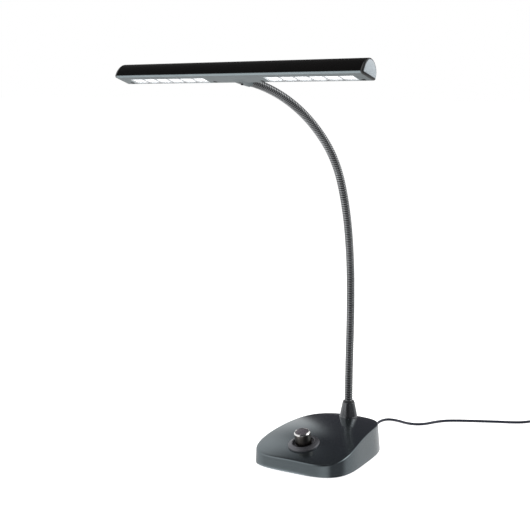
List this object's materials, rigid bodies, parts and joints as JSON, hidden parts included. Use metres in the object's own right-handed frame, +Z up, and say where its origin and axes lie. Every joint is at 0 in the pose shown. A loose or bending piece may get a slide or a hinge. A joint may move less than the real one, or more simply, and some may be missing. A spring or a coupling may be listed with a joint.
{
  "type": "piano lamp",
  "caption": "Piano lamp with a weighted base, a dimmer knob, a ribbed gooseneck and a long half-round light bar that shines down on the music.",
  "frame": {"origin": "on the floor, under the middle of the base footprint", "axes": "+Z up, +Y to the back of the base where the gooseneck and the cord leave, X along the light bar before the arm is turned"},
  "size_m": [0.3612, 0.4418, 0.3877],
  "materials": {
    "base_plastic": "satin",
    "steel": "satin",
    "iron": "rough",
    "rubber": "matte",
    "ring_plastic": "satin",
    "control_blue": "matte",
    "board_green": "satin",
    "driver_dark": "matte",
    "wire_red": "satin",
    "sleeve_black": "glossy",
    "black_plastic": "satin",
    "neck_black": "satin",
    "knob_chrome": "dark polished",
    "cap_dark": "satin",
    "bar_black": "black, glossy",
    "cover_grey": "satin",
    "plate_pale": "satin",
    "pane_clear": "glossy",
    "reflector_white": "satin",
    "led_board_white": "matte",
    "led_yellow": "satin",
    "screw_black": "blackened",
    "cord_dark": "satin"
  },
  "bodies": {
    "base": {"base_shell": "base_plastic", "bottom_plate": "steel", "ballast_block": "iron", "base_pad": "rubber", "base_screws": "steel", "knob_ring": "ring_plastic", "dimmer_control": "control_blue", "dimmer_washer": "steel", "dimmer_nut": "steel", "dimmer_board": "board_green", "driver_parts": "driver_dark", "base_wires": "wire_red", "neck_ferrule": "steel", "neck_washer": "steel", "neck_nut": "steel", "neck_sleeve": "sleeve_black", "sleeve_collar": "black_plastic", "cord_gland": "rubber", "gooseneck_foot": "neck_black", "cord_lead": "cord_dark", "cord_coil": "cord_dark", "cord_plug": "cord_dark"},
    "knob": {"dimmer_shaft": "steel", "dimmer_knob": "knob_chrome", "knob_cap": "cap_dark"},
    "neck_low": {"gooseneck_low": "neck_black"},
    "neck_middle": {"gooseneck_middle": "neck_black"},
    "neck_high": {"gooseneck_high": "neck_black"},
    "neck_top": {"gooseneck_top": "neck_black"},
    "light_bar": {"gooseneck_end": "neck_black", "bar_shell": "bar_black", "bar_cover": "cover_grey", "end_plug_left": "black_plastic", "end_plug_right": "black_plastic", "end_plate_left": "plate_pale", "end_plate_right": "plate_pale", "window_left": "pane_clear", "window_right": "pane_clear", "reflector_left": "reflector_white", "reflector_right": "reflector_white", "led_board_left": "led_board_white", "led_board_right": "led_board_white", "leds_left": "led_yellow", "leds_right": "led_yellow", "bar_bracket": "steel", "snout_screw": "screw_black", "cover_screws": "screw_black", "bar_wires": "wire_red"}
  },
  "joints": [
    {"name": "dimmer_turn", "type": "hinge", "parent": "base", "child": "knob", "pos_m": [0, -0.038, 0.02208], "axis": [0, 0.2637, -0.9646], "range_deg": [0, 270]},
    {"name": "neck_side_lean", "type": "hinge", "parent": "base", "child": "neck_low", "pos_m": [0.00004, 0.04876, 0.07858], "axis": [-0.1599, -0.987, 0.0175], "range_deg": [-20, 20]},
    {"name": "neck_low_bend", "type": "hinge", "parent": "neck_low", "child": "neck_middle", "pos_m": [0.00024, 0.04997, 0.16056], "axis": [0.9871, -0.1599, 0], "range_deg": [-20, 25]},
    {"name": "neck_high_bend", "type": "hinge", "parent": "neck_middle", "child": "neck_high", "pos_m": [-0.00213, 0.03533, 0.26411], "axis": [0.9871, -0.1599, 0], "range_deg": [-30, 25]},
    {"name": "head_side_turn", "type": "hinge", "parent": "neck_high", "child": "neck_top", "pos_m": [-0.00945, -0.00983, 0.32823], "axis": [-0.1009, -0.623, -0.7757], "range_deg": [-25, 25]},
    {"name": "head_tilt", "type": "hinge", "parent": "neck_top", "child": "light_bar", "pos_m": [-0.01937, -0.07108, 0.36195], "axis": [0.9871, -0.1599, 0], "range_deg": [-30, 25]}
  ]
}
